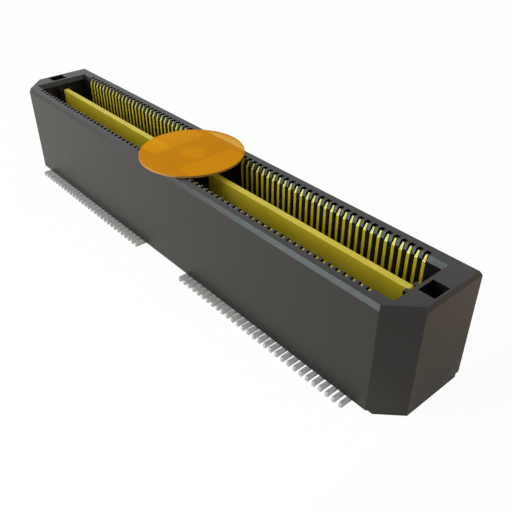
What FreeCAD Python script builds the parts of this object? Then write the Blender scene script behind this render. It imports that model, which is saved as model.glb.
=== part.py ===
"""Surface-mount board-to-board socket: two banks of thirty contact pairs in one tall moulded housing.

Frame: +X along the contact rows, +Y across the body away from the chamfered side, +Z up from the board.
The origin is on the board plane under the middle of the housing. Lengths are in millimetres.
"""
import FreeCAD, Part
import math
import os

# Contact layout
PITCH = 0.5                  # spacing of neighbouring contacts in a row
CONTACTS_PER_ROW = 30        # contacts in one row of one bank
BANK_PITCH = 20.0            # centre of one bank to centre of the other
GROUP_SIZE = 5               # neighbouring contacts kept together in one node

# Contact, cut from flat strip that stands on edge
CONTACT_WIDTH = 0.19         # thickness of the strip, along the row
FINGER_DEPTH = 0.17          # finger and upper stem, across the row
BASE_DEPTH = 0.39            # broad base that sits in the housing's floor, across the row
BASE_TOP = 2.2               # upper end of the base above the board
TAIL_HEIGHT = 0.31           # solder tail above the board, and the body's underside on it
TAIL_REACH = 0.63            # solder tail beyond the front wall
TAIL_NOSE = 0.04             # bevel on the upper edge of the tail's end
KINK_DROP = 0.44             # housing top down to the kink of the finger
TIP_DROP = 0.07              # housing top down to the end of the finger
TIP_LEAN = 0.19              # the finger's end leans this far back into its slot
TIP_WIDTH = 0.10             # the finger narrows to this from its kink up

# Housing
HEIGHT = 7.25                # top rim above the board
FLOOR_THICKNESS = 2.4
ROW_FACE = 1.99              # middle plane to the contact faces, flush with the cavity walls
SLOT_DEPTH = 0.43            # contact slots, from the cavity wall outward
SLOT_CLEARANCE = 0.055       # each side of a contact in its slot
OUTER_WALL = 0.52            # material outside the slots in the front wall
BACK_EXTRA = 0.13            # the back wall is thicker than the front one by this
END_SPACE = 1.19             # last contact to the cavity's end wall
LEAD_IN = 0.145              # funnel round the top of each cavity, across
LEAD_DEPTH = 0.34            # funnel round the top of each cavity, down
BRIDGE_LENGTH = 3.07         # block between the two cavities, under the film
BRIDGE_HOLE_RADIUS = 1.0
BRIDGE_HOLE_DEPTH = 4.5
HOLE_RIM = 0.20              # rim between the funnel's edge and the square end hole
HOLE_LENGTH = 0.96
HOLE_WIDTH = 1.20
HOLE_DEPTH = 5.0
END_WALL = 0.23              # material outside the square end hole
CORNER_CHAMFER = 1.54        # big chamfers on the two vertical corners of the -Y side
FRONT_EDGE_IN = 0.12         # bevel on the outer top edge, across, on the front and the big chamfers
END_EDGE_IN = 0.10           # the same on both ends
BACK_EDGE_IN = 0.21          # the same on the back
EDGE_DOWN = 0.30             # bevel round the outer top edge, down
FOOT_INSET = 0.27            # feet stay this far inside the long faces
FOOT_LENGTH = 1.9
FOOT_LIFT = 0.06             # feet above the board, which the solder tails touch first

# Ground blades
BLADE_THICKNESS = 0.43
BLADE_LENGTH = 16.12
BLADE_GAP = 0.48             # bridge to the inner end of a blade
BLADE_DROP = 0.64            # housing top down to the blade's top edge
BLADE_NOSE = 0.12            # bevel on the blade's upper corners
BLADE_SEAT = 0.6             # depth of the groove in the floor that holds the blade
BLADE_CLEARANCE = 0.02       # each side of the blade in its groove
BLADE_TABS = 6               # solder tabs of one blade
TAB_LENGTH = 1.4
CHEEK_THICKNESS = 0.28       # ribs that hold the outer end of a blade
CHEEK_LAP = 0.20             # the ribs cover this much of the blade
CHEEK_RISE = 0.05            # the ribs stand this far above the blade

# Pick-and-place film
PAD_RADIUS = 3.48
PAD_THICKNESS = 0.14

# Sizes that follow from the ones above
ROW_SPAN = (CONTACTS_PER_ROW - 1) * PITCH
SLOT_WIDTH = CONTACT_WIDTH + 2 * SLOT_CLEARANCE
SLOT_FACE = ROW_FACE + SLOT_DEPTH
FRONT_FACE = SLOT_FACE + OUTER_WALL
BACK_FACE = FRONT_FACE + BACK_EXTRA
TAIL_END = FRONT_FACE + TAIL_REACH
BRIDGE_END = BRIDGE_LENGTH / 2
BLADE_START = BRIDGE_END + BLADE_GAP
BLADE_END = BLADE_START + BLADE_LENGTH
BLADE_MIDDLE = (BLADE_START + BLADE_END) / 2
# The end wall stays clear of the last contact and of the blade
CAVITY_END = max(BANK_PITCH / 2 + ROW_SPAN / 2 + END_SPACE, BLADE_END + BLADE_CLEARANCE)
FUNNEL_END = CAVITY_END + LEAD_IN
HOLE_START = FUNNEL_END + HOLE_RIM
HALF_LENGTH = HOLE_START + HOLE_LENGTH + END_WALL
FLOOR_TOP = TAIL_HEIGHT + FLOOR_THICKNESS
KINK_TOP = HEIGHT - KINK_DROP
TIP_TOP = HEIGHT - TIP_DROP
BLADE_TOP = HEIGHT - BLADE_DROP
BLADE_BOTTOM = FLOOR_TOP - BLADE_SEAT
GROOVE_HALF = BLADE_THICKNESS / 2 + BLADE_CLEARANCE
CUT_OVERRUN = 1.0            # how far cutting shapes run past the faces that they open
SIDES = (-1, 1)              # the two halves of the part, along X or across Y


def vector(x, y, z):
    return FreeCAD.Vector(x, y, z)


def box(x_range, y_range, z_range):
    """Block between two places on each axis."""
    size = [high - low for low, high in (x_range, y_range, z_range)]
    return Part.makeBox(*size, vector(x_range[0], y_range[0], z_range[0]))


def closed_wire(points):
    return Part.makePolygon(points + points[:1])


def prism(points, along):
    """Solid made by moving a flat outline along a vector."""
    return Part.Face(closed_wire(points)).extrude(along)


def tapered(lower, upper):
    """Solid between two outlines with the same number of corners."""
    return Part.makeLoft([closed_wire(lower), closed_wire(upper)], True, True)


def housing_outline(z, front=0, end=0, back=0):
    """Plan of the body at z, its faces moved inward: two big corner chamfers on the -Y side."""
    x = HALF_LENGTH - end
    front_y = front - FRONT_FACE
    back_y = BACK_FACE - back
    # The chamfers move inward as far as the front does
    chamfer = CORNER_CHAMFER + front * math.sqrt(2)
    corner_x = HALF_LENGTH - chamfer + front
    corner_y = chamfer - end - FRONT_FACE
    corners = [(-x, back_y), (-x, corner_y), (-corner_x, front_y), (corner_x, front_y), (x, corner_y), (x, back_y)]
    return [vector(cx, cy, z) for cx, cy in corners]


def cavity_outline(side, outset, z):
    """Plan of one bank's cavity, moved outward by outset."""
    inner = side * (BRIDGE_END - outset)
    outer = side * (CAVITY_END + outset)
    y = ROW_FACE + outset
    return [vector(cx, cy, z) for cx, cy in ((inner, -y), (outer, -y), (outer, y), (inner, y))]


def housing_body():
    """Straight block with the bevel round its outer top edge."""
    shoulder = HEIGHT - EDGE_DOWN
    block = prism(housing_outline(TAIL_HEIGHT), vector(0, 0, shoulder - TAIL_HEIGHT))
    crown = tapered(housing_outline(shoulder),
                    housing_outline(HEIGHT, FRONT_EDGE_IN, END_EDGE_IN, BACK_EDGE_IN))
    return block.fuse(crown)


def feet():
    """Low pads under both ends, flush with the ends and corner chamfers."""
    across = (FOOT_INSET - FRONT_FACE, BACK_FACE - FOOT_INSET)
    plan = prism(housing_outline(FOOT_LIFT), vector(0, 0, TAIL_HEIGHT - FOOT_LIFT))
    inner = HALF_LENGTH - FOOT_LENGTH
    pads = [box((min(side * inner, side * HALF_LENGTH), max(side * inner, side * HALF_LENGTH)),
                across, (FOOT_LIFT, TAIL_HEIGHT)) for side in SIDES]
    return [plan.common(pad) for pad in pads]


def cavity(side):
    """Space for one bank of the mating header, with a funnel round its mouth."""
    throat = HEIGHT - LEAD_DEPTH
    well = prism(cavity_outline(side, 0, FLOOR_TOP), vector(0, 0, throat - FLOOR_TOP))
    funnel = tapered(cavity_outline(side, 0, throat), cavity_outline(side, LEAD_IN, HEIGHT))
    return well.fuse(funnel)


def bridge_hole():
    """Round blind hole in the top of the bridge between the cavities."""
    floor = HEIGHT - BRIDGE_HOLE_DEPTH
    return Part.makeCylinder(BRIDGE_HOLE_RADIUS, BRIDGE_HOLE_DEPTH + CUT_OVERRUN, vector(0, 0, floor))


def end_holes():
    """Square blind holes in the top of both end walls."""
    half = HOLE_WIDTH / 2
    reach = (HEIGHT - HOLE_DEPTH, HEIGHT + CUT_OVERRUN)
    end = HOLE_START + HOLE_LENGTH
    return [box((HOLE_START, end), (-half, half), reach), box((-end, -HOLE_START), (-half, half), reach)]


def cheeks():
    """Ribs on the cavity's end walls, one each side of the outer end of a blade."""
    ribs = []
    start = BLADE_END - CHEEK_LAP
    outer = GROOVE_HALF + CHEEK_THICKNESS
    height = (FLOOR_TOP, BLADE_TOP + CHEEK_RISE)
    for x_range in ((start, CAVITY_END), (-CAVITY_END, -start)):
        ribs.append(box(x_range, (GROOVE_HALF, outer), height))
        ribs.append(box(x_range, (-outer, -GROOVE_HALF), height))
    return ribs


def bank_centres():
    return (-BANK_PITCH / 2, BANK_PITCH / 2)


def contact_places(bank):
    """X of every contact in one row of a bank."""
    first = bank - ROW_SPAN / 2
    return [first + index * PITCH for index in range(CONTACTS_PER_ROW)]


def contact_slots():
    """One slot per contact in each long wall, open to the cavity, the rim and the underside."""
    slots = []
    height = (TAIL_HEIGHT - CUT_OVERRUN, HEIGHT + CUT_OVERRUN)
    for bank in bank_centres():
        for x in contact_places(bank):
            width = (x - SLOT_WIDTH / 2, x + SLOT_WIDTH / 2)
            slots.append(box(width, (ROW_FACE, SLOT_FACE), height))
            slots.append(box(width, (-SLOT_FACE, -ROW_FACE), height))
    return slots


def tab_places(middle):
    """X of the middle of each solder tab, evenly spread along the blade with that middle."""
    step = BLADE_LENGTH / BLADE_TABS
    return [middle - BLADE_LENGTH / 2 + step * (index + 0.5) for index in range(BLADE_TABS)]


def blade_grooves():
    """Grooves in the floor for the blades, with an opening through it for each tab."""
    cuts = []
    across = (-GROOVE_HALF, GROOVE_HALF)
    half = BLADE_LENGTH / 2 + BLADE_CLEARANCE
    tab_half = TAB_LENGTH / 2 + BLADE_CLEARANCE
    for side in SIDES:
        middle = side * BLADE_MIDDLE
        cuts.append(box((middle - half, middle + half), across, (BLADE_BOTTOM, FLOOR_TOP + CUT_OVERRUN)))
        for x in tab_places(middle):
            cuts.append(box((x - tab_half, x + tab_half), across, (TAIL_HEIGHT - CUT_OVERRUN, BLADE_BOTTOM)))
    return cuts


def make_housing():
    shape = housing_body().multiFuse(feet())
    shape = shape.cut(Part.makeCompound([cavity(side) for side in SIDES])).multiFuse(cheeks())
    shape = shape.cut(Part.makeCompound(end_holes() + blade_grooves() + [bridge_hole()]))
    shape = shape.cut(Part.makeCompound(contact_slots()))
    return shape.removeSplitter()


def make_blade(side):
    """Flat ground blade with a comb of solder tabs along its lower edge."""
    middle = side * BLADE_MIDDLE
    end = BLADE_LENGTH / 2
    outline = [(end, BLADE_BOTTOM), (end, BLADE_TOP - BLADE_NOSE), (end - BLADE_NOSE, BLADE_TOP),
               (BLADE_NOSE - end, BLADE_TOP), (-end, BLADE_TOP - BLADE_NOSE), (-end, BLADE_BOTTOM)]
    for x in tab_places(0):
        left = x - TAB_LENGTH / 2
        right = x + TAB_LENGTH / 2
        outline += [(left, BLADE_BOTTOM), (left, 0), (right, 0), (right, BLADE_BOTTOM)]
    points = [vector(middle + x, -BLADE_THICKNESS / 2, z) for x, z in outline]
    return prism(points, vector(0, BLADE_THICKNESS, 0))


def finger():
    """Points (y, z) of the leaned-back finger end: kink and tip on the face, then tip and kink behind."""
    tip_y = ROW_FACE + TIP_LEAN
    length = math.hypot(TIP_LEAN, TIP_TOP - KINK_TOP)
    lean_y = TIP_LEAN / length
    lean_z = (TIP_TOP - KINK_TOP) / length
    back_tip = (tip_y + FINGER_DEPTH * lean_z, TIP_TOP - FINGER_DEPTH * lean_y)
    back_kink = (ROW_FACE + FINGER_DEPTH, KINK_TOP - FINGER_DEPTH * lean_y / (1 + lean_z))
    return [(ROW_FACE, KINK_TOP), (tip_y, TIP_TOP), back_tip, back_kink]


def contact_side_view():
    """Outline (y, z) of a contact: solder tail, broad base, upright stem and leaned-back finger end."""
    base = ROW_FACE + BASE_DEPTH
    front = [(TAIL_END, 0), (ROW_FACE, 0)]
    back = [(ROW_FACE + FINGER_DEPTH, BASE_TOP), (base, BASE_TOP), (base, TAIL_HEIGHT)]
    nose = [(TAIL_END - TAIL_NOSE, TAIL_HEIGHT), (TAIL_END, TAIL_HEIGHT - TAIL_NOSE)]
    return front + finger() + back + nose


def contact_front_view():
    """Outline (x, z) of a contact: the strip's thickness up to the kink, then the narrowing finger end."""
    half = CONTACT_WIDTH / 2
    tip = TIP_WIDTH / 2
    return [(-half, 0), (half, 0), (half, KINK_TOP), (tip, TIP_TOP), (-tip, TIP_TOP), (-half, KINK_TOP)]


def make_contact(side):
    """A contact at x = 0 in the row on the given side, +1 for +Y and -1 for -Y."""
    strip = prism([vector(-CONTACT_WIDTH / 2, side * y, z) for y, z in contact_side_view()],
                  vector(CONTACT_WIDTH, 0, 0))
    narrowing = prism([vector(x, 0, z) for x, z in contact_front_view()],
                      vector(0, side * (TAIL_END + CUT_OVERRUN), 0))
    return strip.common(narrowing).removeSplitter()


def contact_groups():
    """Named groups of neighbouring contacts, for both rows of both banks."""
    groups = {}
    for row, side in zip(("front", "back"), SIDES):
        contact = make_contact(side)
        for bank_number, bank in enumerate(bank_centres(), start=1):
            places = contact_places(bank)
            for start in range(0, CONTACTS_PER_ROW, GROUP_SIZE):
                name = f"contacts_{row}_bank{bank_number}_{start // GROUP_SIZE + 1}"
                solids = [contact.translated(vector(x, 0, 0)) for x in places[start:start + GROUP_SIZE]]
                groups[name] = Part.makeCompound(solids)
    return groups


def make_pad():
    """Round film disc on the housing's rim that a vacuum nozzle picks up."""
    return Part.makeCylinder(PAD_RADIUS, PAD_THICKNESS, vector(0, 0, HEIGHT))


def build():
    shapes = {"housing": make_housing(), "pick_and_place_pad": make_pad()}
    for number, side in enumerate(SIDES, start=1):
        shapes[f"ground_blade_{number}"] = make_blade(side)
    shapes.update(contact_groups())
    return shapes


def main():
    os.makedirs("parts", exist_ok=True)
    for name, shape in build().items():
        shape.exportStep(f"parts/{name}.step")
        print(name, len(shape.Solids), "solids", round(shape.Volume, 3), "mm3", shape.isValid())


main()
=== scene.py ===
"""Board-to-board socket: finishes, studio floor, lights and the photograph's camera.

Lengths are in metres, in the frame of the CAD model: +X along the contact rows, -Y toward the side with the
big corner chamfers, +Z up from the board.
"""
import math
import bpy
from mathutils import Matrix, Vector


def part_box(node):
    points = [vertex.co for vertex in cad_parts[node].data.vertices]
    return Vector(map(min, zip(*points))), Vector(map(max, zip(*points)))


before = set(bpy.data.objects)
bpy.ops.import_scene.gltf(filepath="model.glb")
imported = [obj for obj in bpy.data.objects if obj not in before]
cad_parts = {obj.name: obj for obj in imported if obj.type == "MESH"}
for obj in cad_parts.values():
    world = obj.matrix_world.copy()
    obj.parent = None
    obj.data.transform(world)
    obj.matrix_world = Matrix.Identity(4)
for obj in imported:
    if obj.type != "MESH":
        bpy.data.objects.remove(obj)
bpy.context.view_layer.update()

MM = 0.001
NOISE_LOW = 0.3              # nearly all of a noise texture's values lie between these two
NOISE_HIGH = 0.7

# Places on the CAD solids that the finishes follow
FILM_LOW, FILM_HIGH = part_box("pick_and_place_pad")
END_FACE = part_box("housing")[1][0]
BRIDGE_HALF = 1.39 * MM      # half of the bridge's top between the two funnels, along X
MOUTH_HALF = 2.135 * MM      # middle plane to the edge of the cavity's mouth
TIN_TOP = 1.2 * MM           # tin plating ends here, inside the housing's floor
SHADED_TIP_START = 6.75 * MM        # painted shade, a darker and paler gold, starts here, just under the kink of the contact fingers
SHADED_TIP_FADE = 0.15 * MM         # the painted shade fades in over this height
FACE_DEPTH = 0.002 * MM      # a point this near to the film's top or base counts as part of that face
LIT_FACE_LIMIT = 0.7           # past this X part of its normal, a face is a rolled face of the strip, and gets painted light

# Painted reflection: a pale patch on the film over the bridge's hole
REFLECTION_PATCH_X = 0.25 * MM
REFLECTION_PATCH_HALF_X = 0.90 * MM
REFLECTION_PATCH_HALF_Y = 0.78 * MM
FILM_COVER = 0.85            # share of the film's surface that isn't see-through

# Floor, with painted light and shade: the long wall mirrors it along X, and the end wall mirrors what lies
# past the +X end
FLOOR_HALF = 0.6
BRIGHTER_FROM = -35 * MM     # the floor's painted light gets brighter along X from here
BRIGHTER_TO = 12 * MM
PAINTED_SHADOW_FADE = 1 * MM            # past the end a painted shadow turns the floor darker over this length
WARMER_FROM = -2 * MM        # and the painted shadow gets warmer along Y from here
WARMER_TO = 1 * MM
WHITE_SEEN = 0.96            # share of pure white in the floor as the camera sees it
WHITE_MIRRORED = 0.15        # the same share in the floor as shiny and clear surfaces show it
WHITE = (1, 1, 1, 1)

# Lights
AMBIENT = 0.56               # even light of the surroundings on the object
LIGHT_AIM = Vector((0, 0, 4)) * MM
KEY_PLACE = Vector((-75, -118, 110)) * MM
KEY_SIZE = 140 * MM
KEY_LEVEL = 1.0
KEY_COLOUR = (1.0, 0.98, 0.95)
WINDOW_PLACE = Vector((-60, -130, 25)) * MM
WINDOW_SIZE = 75 * MM
WINDOW_LEVEL = 0.65
WINDOW_COLOUR = (0.80, 0.95, 1.0)

# Camera fitted to the photograph
CAMERA_PLACE = Vector((31.542, -21.665, 25.641)) * MM
CAMERA_AZIMUTH = math.radians(49.212)
CAMERA_ELEVATION = math.radians(35.066)
CAMERA_ROLL = math.radians(-0.191)
CAMERA_NEAR = 1 * MM
SENSOR = 36.0                # width of the camera's sensor, in millimetres as Blender has it
FOCAL_PIXELS = 632.089
PHOTO_SIZE = 512


class Nodes:
    """Builds the nodes of one material or of the world."""

    def __init__(self, owner):
        owner.use_nodes = True
        self.owner = owner
        self.tree = owner.node_tree
        self.tree.nodes.clear()

    def add(self, kind, inputs=None, **settings):
        """New node; inputs maps a socket's name or number to a value or to another node's output."""
        node = self.tree.nodes.new(kind)
        for key, value in settings.items():
            setattr(node, key, value)
        for key, value in (inputs or {}).items():
            if isinstance(value, bpy.types.NodeSocket):
                self.tree.links.new(value, node.inputs[key])
            else:
                node.inputs[key].default_value = value
        return node

    def math(self, operation, first, second=0.0):
        return self.add("ShaderNodeMath", {0: first, 1: second}, operation=operation).outputs[0]

    def ramp(self, value, start, end, low=0.0, high=1.0):
        """Goes from low to high as value goes from start to end, and stays level before and after."""
        node = self.add("ShaderNodeMapRange", {"Value": value, "From Min": start, "From Max": end,
                                               "To Min": low, "To Max": high})
        return node.outputs[0]

    def place(self):
        """Object coordinates, which are the CAD frame's metres."""
        return self.add("ShaderNodeTexCoord").outputs["Object"]

    def axes(self, vector):
        """The X, Y and Z parts of a vector."""
        parts = self.add("ShaderNodeSeparateXYZ", {0: vector})
        return parts.outputs[0], parts.outputs[1], parts.outputs[2]

    def raw_noise(self, size, detail):
        """Noise whose features are about size metres across."""
        node = self.add("ShaderNodeTexNoise", {"Vector": self.place(), "Scale": 1 / size, "Detail": detail})
        return node.outputs[0]

    def noise(self, size, low=0.0, high=1.0, detail=3):
        """The same noise, stretched from low to high."""
        return self.ramp(self.raw_noise(size, detail), NOISE_LOW, NOISE_HIGH, low, high)

    def bump(self, size, distance, strength, detail=3):
        """Normal of a surface with noise relief; size is its grain's width and distance its depth."""
        height = self.raw_noise(size, detail)
        node = self.add("ShaderNodeBump", {"Height": height, "Distance": distance, "Strength": strength})
        return node.outputs[0]

    def blend(self, factor, first, second):
        """Colour between two colours or colour sockets."""
        mixed = self.add("ShaderNodeMix", {0: factor, 6: first, 7: second}, data_type="RGBA")
        return mixed.outputs[2]

    def surface(self, colour, rough, specular, metallic=0.0, normal=None):
        """Shader of a solid surface, or of the film where it isn't see-through."""
        inputs = {"Base Color": colour, "Roughness": rough, "Specular IOR Level": specular,
                  "Metallic": metallic}
        if normal is not None:
            inputs["Normal"] = normal
        return self.add("ShaderNodeBsdfPrincipled", inputs).outputs[0]

    def mix(self, factor, first, second):
        """Surface that is the first shader at factor 0 and the second at 1."""
        return self.add("ShaderNodeMixShader", {0: factor, 1: first, 2: second}).outputs[0]

    def ray_kinds(self):
        """1 for what the camera sees directly, and 1 for what shiny and clear surfaces show of it."""
        path = self.add("ShaderNodeLightPath")
        mirrored = self.math("MAXIMUM", path.outputs["Is Glossy Ray"], path.outputs["Is Transmission Ray"])
        return path.outputs["Is Camera Ray"], mirrored

    def output(self, shader, kind="ShaderNodeOutputMaterial"):
        self.add(kind, {"Surface": shader})
        return self.owner


def new_material(name):
    """Nodes of a new, empty material."""
    return Nodes(bpy.data.materials.new(name))


def rgb(red, green, blue):
    return (red, green, blue, 1.0)


def moulded_plastic():
    """Dark grey moulded plastic with a fine spark-eroded grain."""
    n = new_material("moulded_plastic")
    shade = n.noise(3 * MM, detail=4)
    colour = n.blend(shade, rgb(0.0035, 0.0034, 0.0031), rgb(0.0046, 0.0044, 0.0040))
    rough = n.noise(0.4 * MM, 0.34, 0.39)
    grain = n.bump(0.05 * MM, 0.002 * MM, 0.5, detail=2)
    return n.output(n.surface(colour, rough, specular=0.45, normal=grain))


def gold(n):
    """Matte gold plating, for the blades and the upper part of the contacts."""
    colour = n.blend(n.noise(1.2 * MM), rgb(0.485, 0.395, 0.018), rgb(0.545, 0.445, 0.024))
    rough = n.noise(0.3 * MM, 0.37, 0.45)
    drawn = n.bump(0.04 * MM, 0.001 * MM, 0.4, detail=2)
    return n.surface(colour, rough, specular=0.7, metallic=0.3, normal=drawn)


def shaded_tip_gold(n):
    """Darker, paler gold on the ends of the contact fingers: painted shade where their facets catch the
    most light.
    """
    colour = n.blend(n.noise(0.3 * MM), rgb(0.335, 0.305, 0.040), rgb(0.39, 0.355, 0.047))
    rough = n.noise(0.2 * MM, 0.37, 0.45)
    return n.surface(colour, rough, specular=0.7, metallic=0.3)


def tin(n):
    """Matte tin plating, with painted light on the strip's rolled sides, which look along X, so these show
    lighter than its edges.
    """
    shade = n.noise(0.3 * MM, detail=4)
    edges = n.blend(shade, rgb(0.31, 0.315, 0.315), rgb(0.345, 0.35, 0.35))
    # painted light: the strip's rolled sides, which look along X, are lighter than its edges, top and end
    painted_lit_faces = n.blend(shade, rgb(0.53, 0.53, 0.53), rgb(0.57, 0.57, 0.57))
    normal_x = n.axes(n.add("ShaderNodeTexCoord").outputs["Normal"])[0]
    rolled = n.math("GREATER_THAN", n.math("ABSOLUTE", normal_x), LIT_FACE_LIMIT)
    rough = n.noise(0.1 * MM, 0.42, 0.55)
    dull = n.bump(0.03 * MM, 0.001 * MM, 0.5)
    return n.surface(n.blend(rolled, edges, painted_lit_faces), rough, specular=0.5, metallic=0.15, normal=dull)


def gold_plating():
    """Gold alone, for the ground blades."""
    n = new_material("gold_plating")
    return n.output(gold(n))


def contact_finish():
    """Tin on the solder tail, gold on the contact finger, and painted shade on the finger's end in a
    darker, paler gold.
    """
    n = new_material("contact_finish")
    height = n.axes(n.place())[2]
    above = n.math("GREATER_THAN", height, TIN_TOP)
    # painted shade: the finger ends, whose facets catch the most light, get a darker, paler gold
    shaded_tip = n.ramp(height, SHADED_TIP_START, SHADED_TIP_START + SHADED_TIP_FADE)
    plated = n.mix(above, tin(n), gold(n))
    return n.output(n.mix(shaded_tip, plated, shaded_tip_gold(n)))


def over_plastic(n):
    """Mask of the film's painted reflection: 1 where the film is stuck to the housing's rim or bridge, 0
    over the openings.
    """
    x, y = n.axes(n.place())[:2]
    rim = n.math("GREATER_THAN", n.math("ABSOLUTE", y), MOUTH_HALF)
    inside = n.math("LESS_THAN", n.math("ABSOLUTE", x), BRIDGE_HALF)
    along = n.math("DIVIDE", n.math("SUBTRACT", x, REFLECTION_PATCH_X), REFLECTION_PATCH_HALF_X)
    across = n.math("DIVIDE", y, REFLECTION_PATCH_HALF_Y)
    squared = n.math("ADD", n.math("MULTIPLY", along, along), n.math("MULTIPLY", across, across))
    bridge = n.math("MULTIPLY", inside, n.math("GREATER_THAN", squared, 1.0))
    return n.math("MAXIMUM", rim, bridge)


def amber_film():
    """Amber polyimide film, slightly see-through, with a painted reflection: lighter over the openings than
    where stuck to plastic.
    """
    n = new_material("amber_film")
    shade = n.noise(2 * MM, detail=2)
    # painted reflection: the film is lighter over the openings and the patch than where it is stuck to
    # plastic
    painted_reflection_free = n.blend(shade, rgb(0.585, 0.235, 0.001), rgb(0.620, 0.252, 0.002))
    stuck = n.blend(shade, rgb(0.515, 0.198, 0.001), rgb(0.550, 0.215, 0.002))
    # painted highlight: the film's cut edge is paler and whiter than its face
    painted_highlight_edge = rgb(0.42, 0.21, 0.055)
    face = n.blend(over_plastic(n), painted_reflection_free, stuck)
    height = n.axes(n.place())[2]
    below_face = n.math("LESS_THAN", height, FILM_HIGH[2] - FACE_DEPTH)
    rough = n.noise(0.5 * MM, 0.28, 0.36)
    waves = n.bump(1.0 * MM, 0.004 * MM, 0.3)
    film = n.surface(n.blend(below_face, face, painted_highlight_edge), rough, specular=0.01, normal=waves)
    clear = n.add("ShaderNodeBsdfTransparent", {"Color": rgb(0.97, 0.97, 0.56)}).outputs[0]
    # The underside lets everything through, so that the film counts once
    above_base = n.math("GREATER_THAN", height, FILM_LOW[2] + FACE_DEPTH)
    return n.output(n.mix(n.math("MULTIPLY", above_base, FILM_COVER), clear, film))


def studio_floor():
    """Pale floor that shows as the white background and keeps a faint shadow.

    Its colour is painted light and shade for the object to mirror: a little brighter toward +X along the
    long wall, and past the +X end a painted shadow, darker again and warmer behind the middle plane. All of
    it follows the reflections in the photograph.
    """
    n = new_material("studio_floor")
    shade = n.noise(20 * MM)
    # painted light and shade: brighter toward +X, and a darker, warmer painted shadow past the +X end
    painted_darker_far = n.blend(shade, rgb(0.69, 0.65, 0.59), rgb(0.71, 0.67, 0.61))
    painted_lighter_near = n.blend(shade, rgb(0.93, 0.875, 0.785), rgb(0.95, 0.895, 0.805))
    painted_shadow_dim = n.blend(shade, rgb(0.66, 0.63, 0.58), rgb(0.68, 0.65, 0.60))
    painted_shadow_warm = n.blend(shade, rgb(0.72, 0.55, 0.41), rgb(0.74, 0.57, 0.43))
    x, y = n.axes(n.place())[:2]
    beside = n.blend(n.ramp(x, BRIGHTER_FROM, BRIGHTER_TO), painted_darker_far, painted_lighter_near)
    painted_shadow_beyond = n.blend(n.ramp(y, WARMER_FROM, WARMER_TO), painted_shadow_dim, painted_shadow_warm)
    colour = n.blend(n.ramp(x, END_FACE, END_FACE + PAINTED_SHADOW_FADE), beside, painted_shadow_beyond)
    lit = n.add("ShaderNodeBsdfDiffuse", {"Color": colour}).outputs[0]
    white = n.add("ShaderNodeEmission", {"Color": WHITE, "Strength": 1.0}).outputs[0]
    seen, mirrored = n.ray_kinds()
    share = n.math("MAXIMUM", n.math("MULTIPLY", seen, WHITE_SEEN),
                   n.math("MULTIPLY", mirrored, WHITE_MIRRORED))
    return n.output(n.mix(share, lit, white))


def dress(name, material):
    """Gives a CAD node its finish."""
    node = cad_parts[name]
    for slot in node.material_slots:
        slot.material = material
    if not node.material_slots:
        node.data.materials.append(material)


def dress_all():
    contact = contact_finish()
    blade = gold_plating()
    dress("housing", moulded_plastic())
    dress("pick_and_place_pad", amber_film())
    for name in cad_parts:
        if name.startswith("contacts_"):
            dress(name, contact)
        if name.startswith("ground_blade_"):
            dress(name, blade)


def make_floor():
    half = FLOOR_HALF
    mesh = bpy.data.meshes.new("floor")
    corners = [(-half, -half, 0), (half, -half, 0), (half, half, 0), (-half, half, 0)]
    mesh.from_pydata(corners, [], [(0, 1, 2, 3)])
    floor = bpy.data.objects.new("floor", mesh)
    bpy.context.scene.collection.objects.link(floor)
    mesh.materials.append(studio_floor())


def make_world():
    """White as seen, and a lower even light on the object."""
    world = bpy.data.worlds.new("studio")
    bpy.context.scene.world = world
    n = Nodes(world)
    seen, mirrored = n.ray_kinds()
    strength = n.ramp(n.math("MAXIMUM", seen, mirrored), 0.0, 1.0, AMBIENT, 1.0)
    sky = n.add("ShaderNodeBackground", {"Color": WHITE, "Strength": strength})
    n.output(sky.outputs[0], "ShaderNodeOutputWorld")


def soft_light(name, place, size, level, colour):
    """Square soft light; level is the share of its own colour that a surface facing it shows at the aim."""
    lamp = bpy.data.lights.new(name, "AREA")
    lamp.size = size
    lamp.color = colour
    toward = LIGHT_AIM - place
    lamp.energy = level * math.pi ** 2 * toward.length_squared
    holder = bpy.data.objects.new(name, lamp)
    holder.location = place
    holder.rotation_euler = toward.to_track_quat("-Z", "Y").to_euler()
    holder.visible_camera = False
    bpy.context.scene.collection.objects.link(holder)
    return holder


def make_lights():
    """A key light without glare, so that the rim stays grey from behind, and a window for the bevels."""
    key = soft_light("key", KEY_PLACE, KEY_SIZE, KEY_LEVEL, KEY_COLOUR)
    key.visible_glossy = False
    soft_light("window", WINDOW_PLACE, WINDOW_SIZE, WINDOW_LEVEL, WINDOW_COLOUR)


def make_camera():
    """Camera with the photograph's place, direction and angle of view."""
    reach = math.cos(CAMERA_ELEVATION)
    back = Vector((math.sin(CAMERA_AZIMUTH) * reach, -math.cos(CAMERA_AZIMUTH) * reach,
                   math.sin(CAMERA_ELEVATION)))
    right = Vector((math.cos(CAMERA_AZIMUTH), math.sin(CAMERA_AZIMUTH), 0))
    up = back.cross(right)
    turn = Matrix((right, up, back)).transposed() @ Matrix.Rotation(CAMERA_ROLL, 3, "Z")
    data = bpy.data.cameras.new("photo_camera")
    data.sensor_width = SENSOR
    data.sensor_fit = "HORIZONTAL"
    data.lens = FOCAL_PIXELS / PHOTO_SIZE * SENSOR
    data.clip_start = CAMERA_NEAR
    camera = bpy.data.objects.new("photo_camera", data)
    camera.matrix_world = Matrix.Translation(CAMERA_PLACE) @ turn.to_4x4()
    bpy.context.scene.collection.objects.link(camera)
    bpy.context.scene.camera = camera


dress_all()
make_floor()
make_world()
make_lights()
make_camera()
bpy.context.scene.view_settings.view_transform = "Standard"
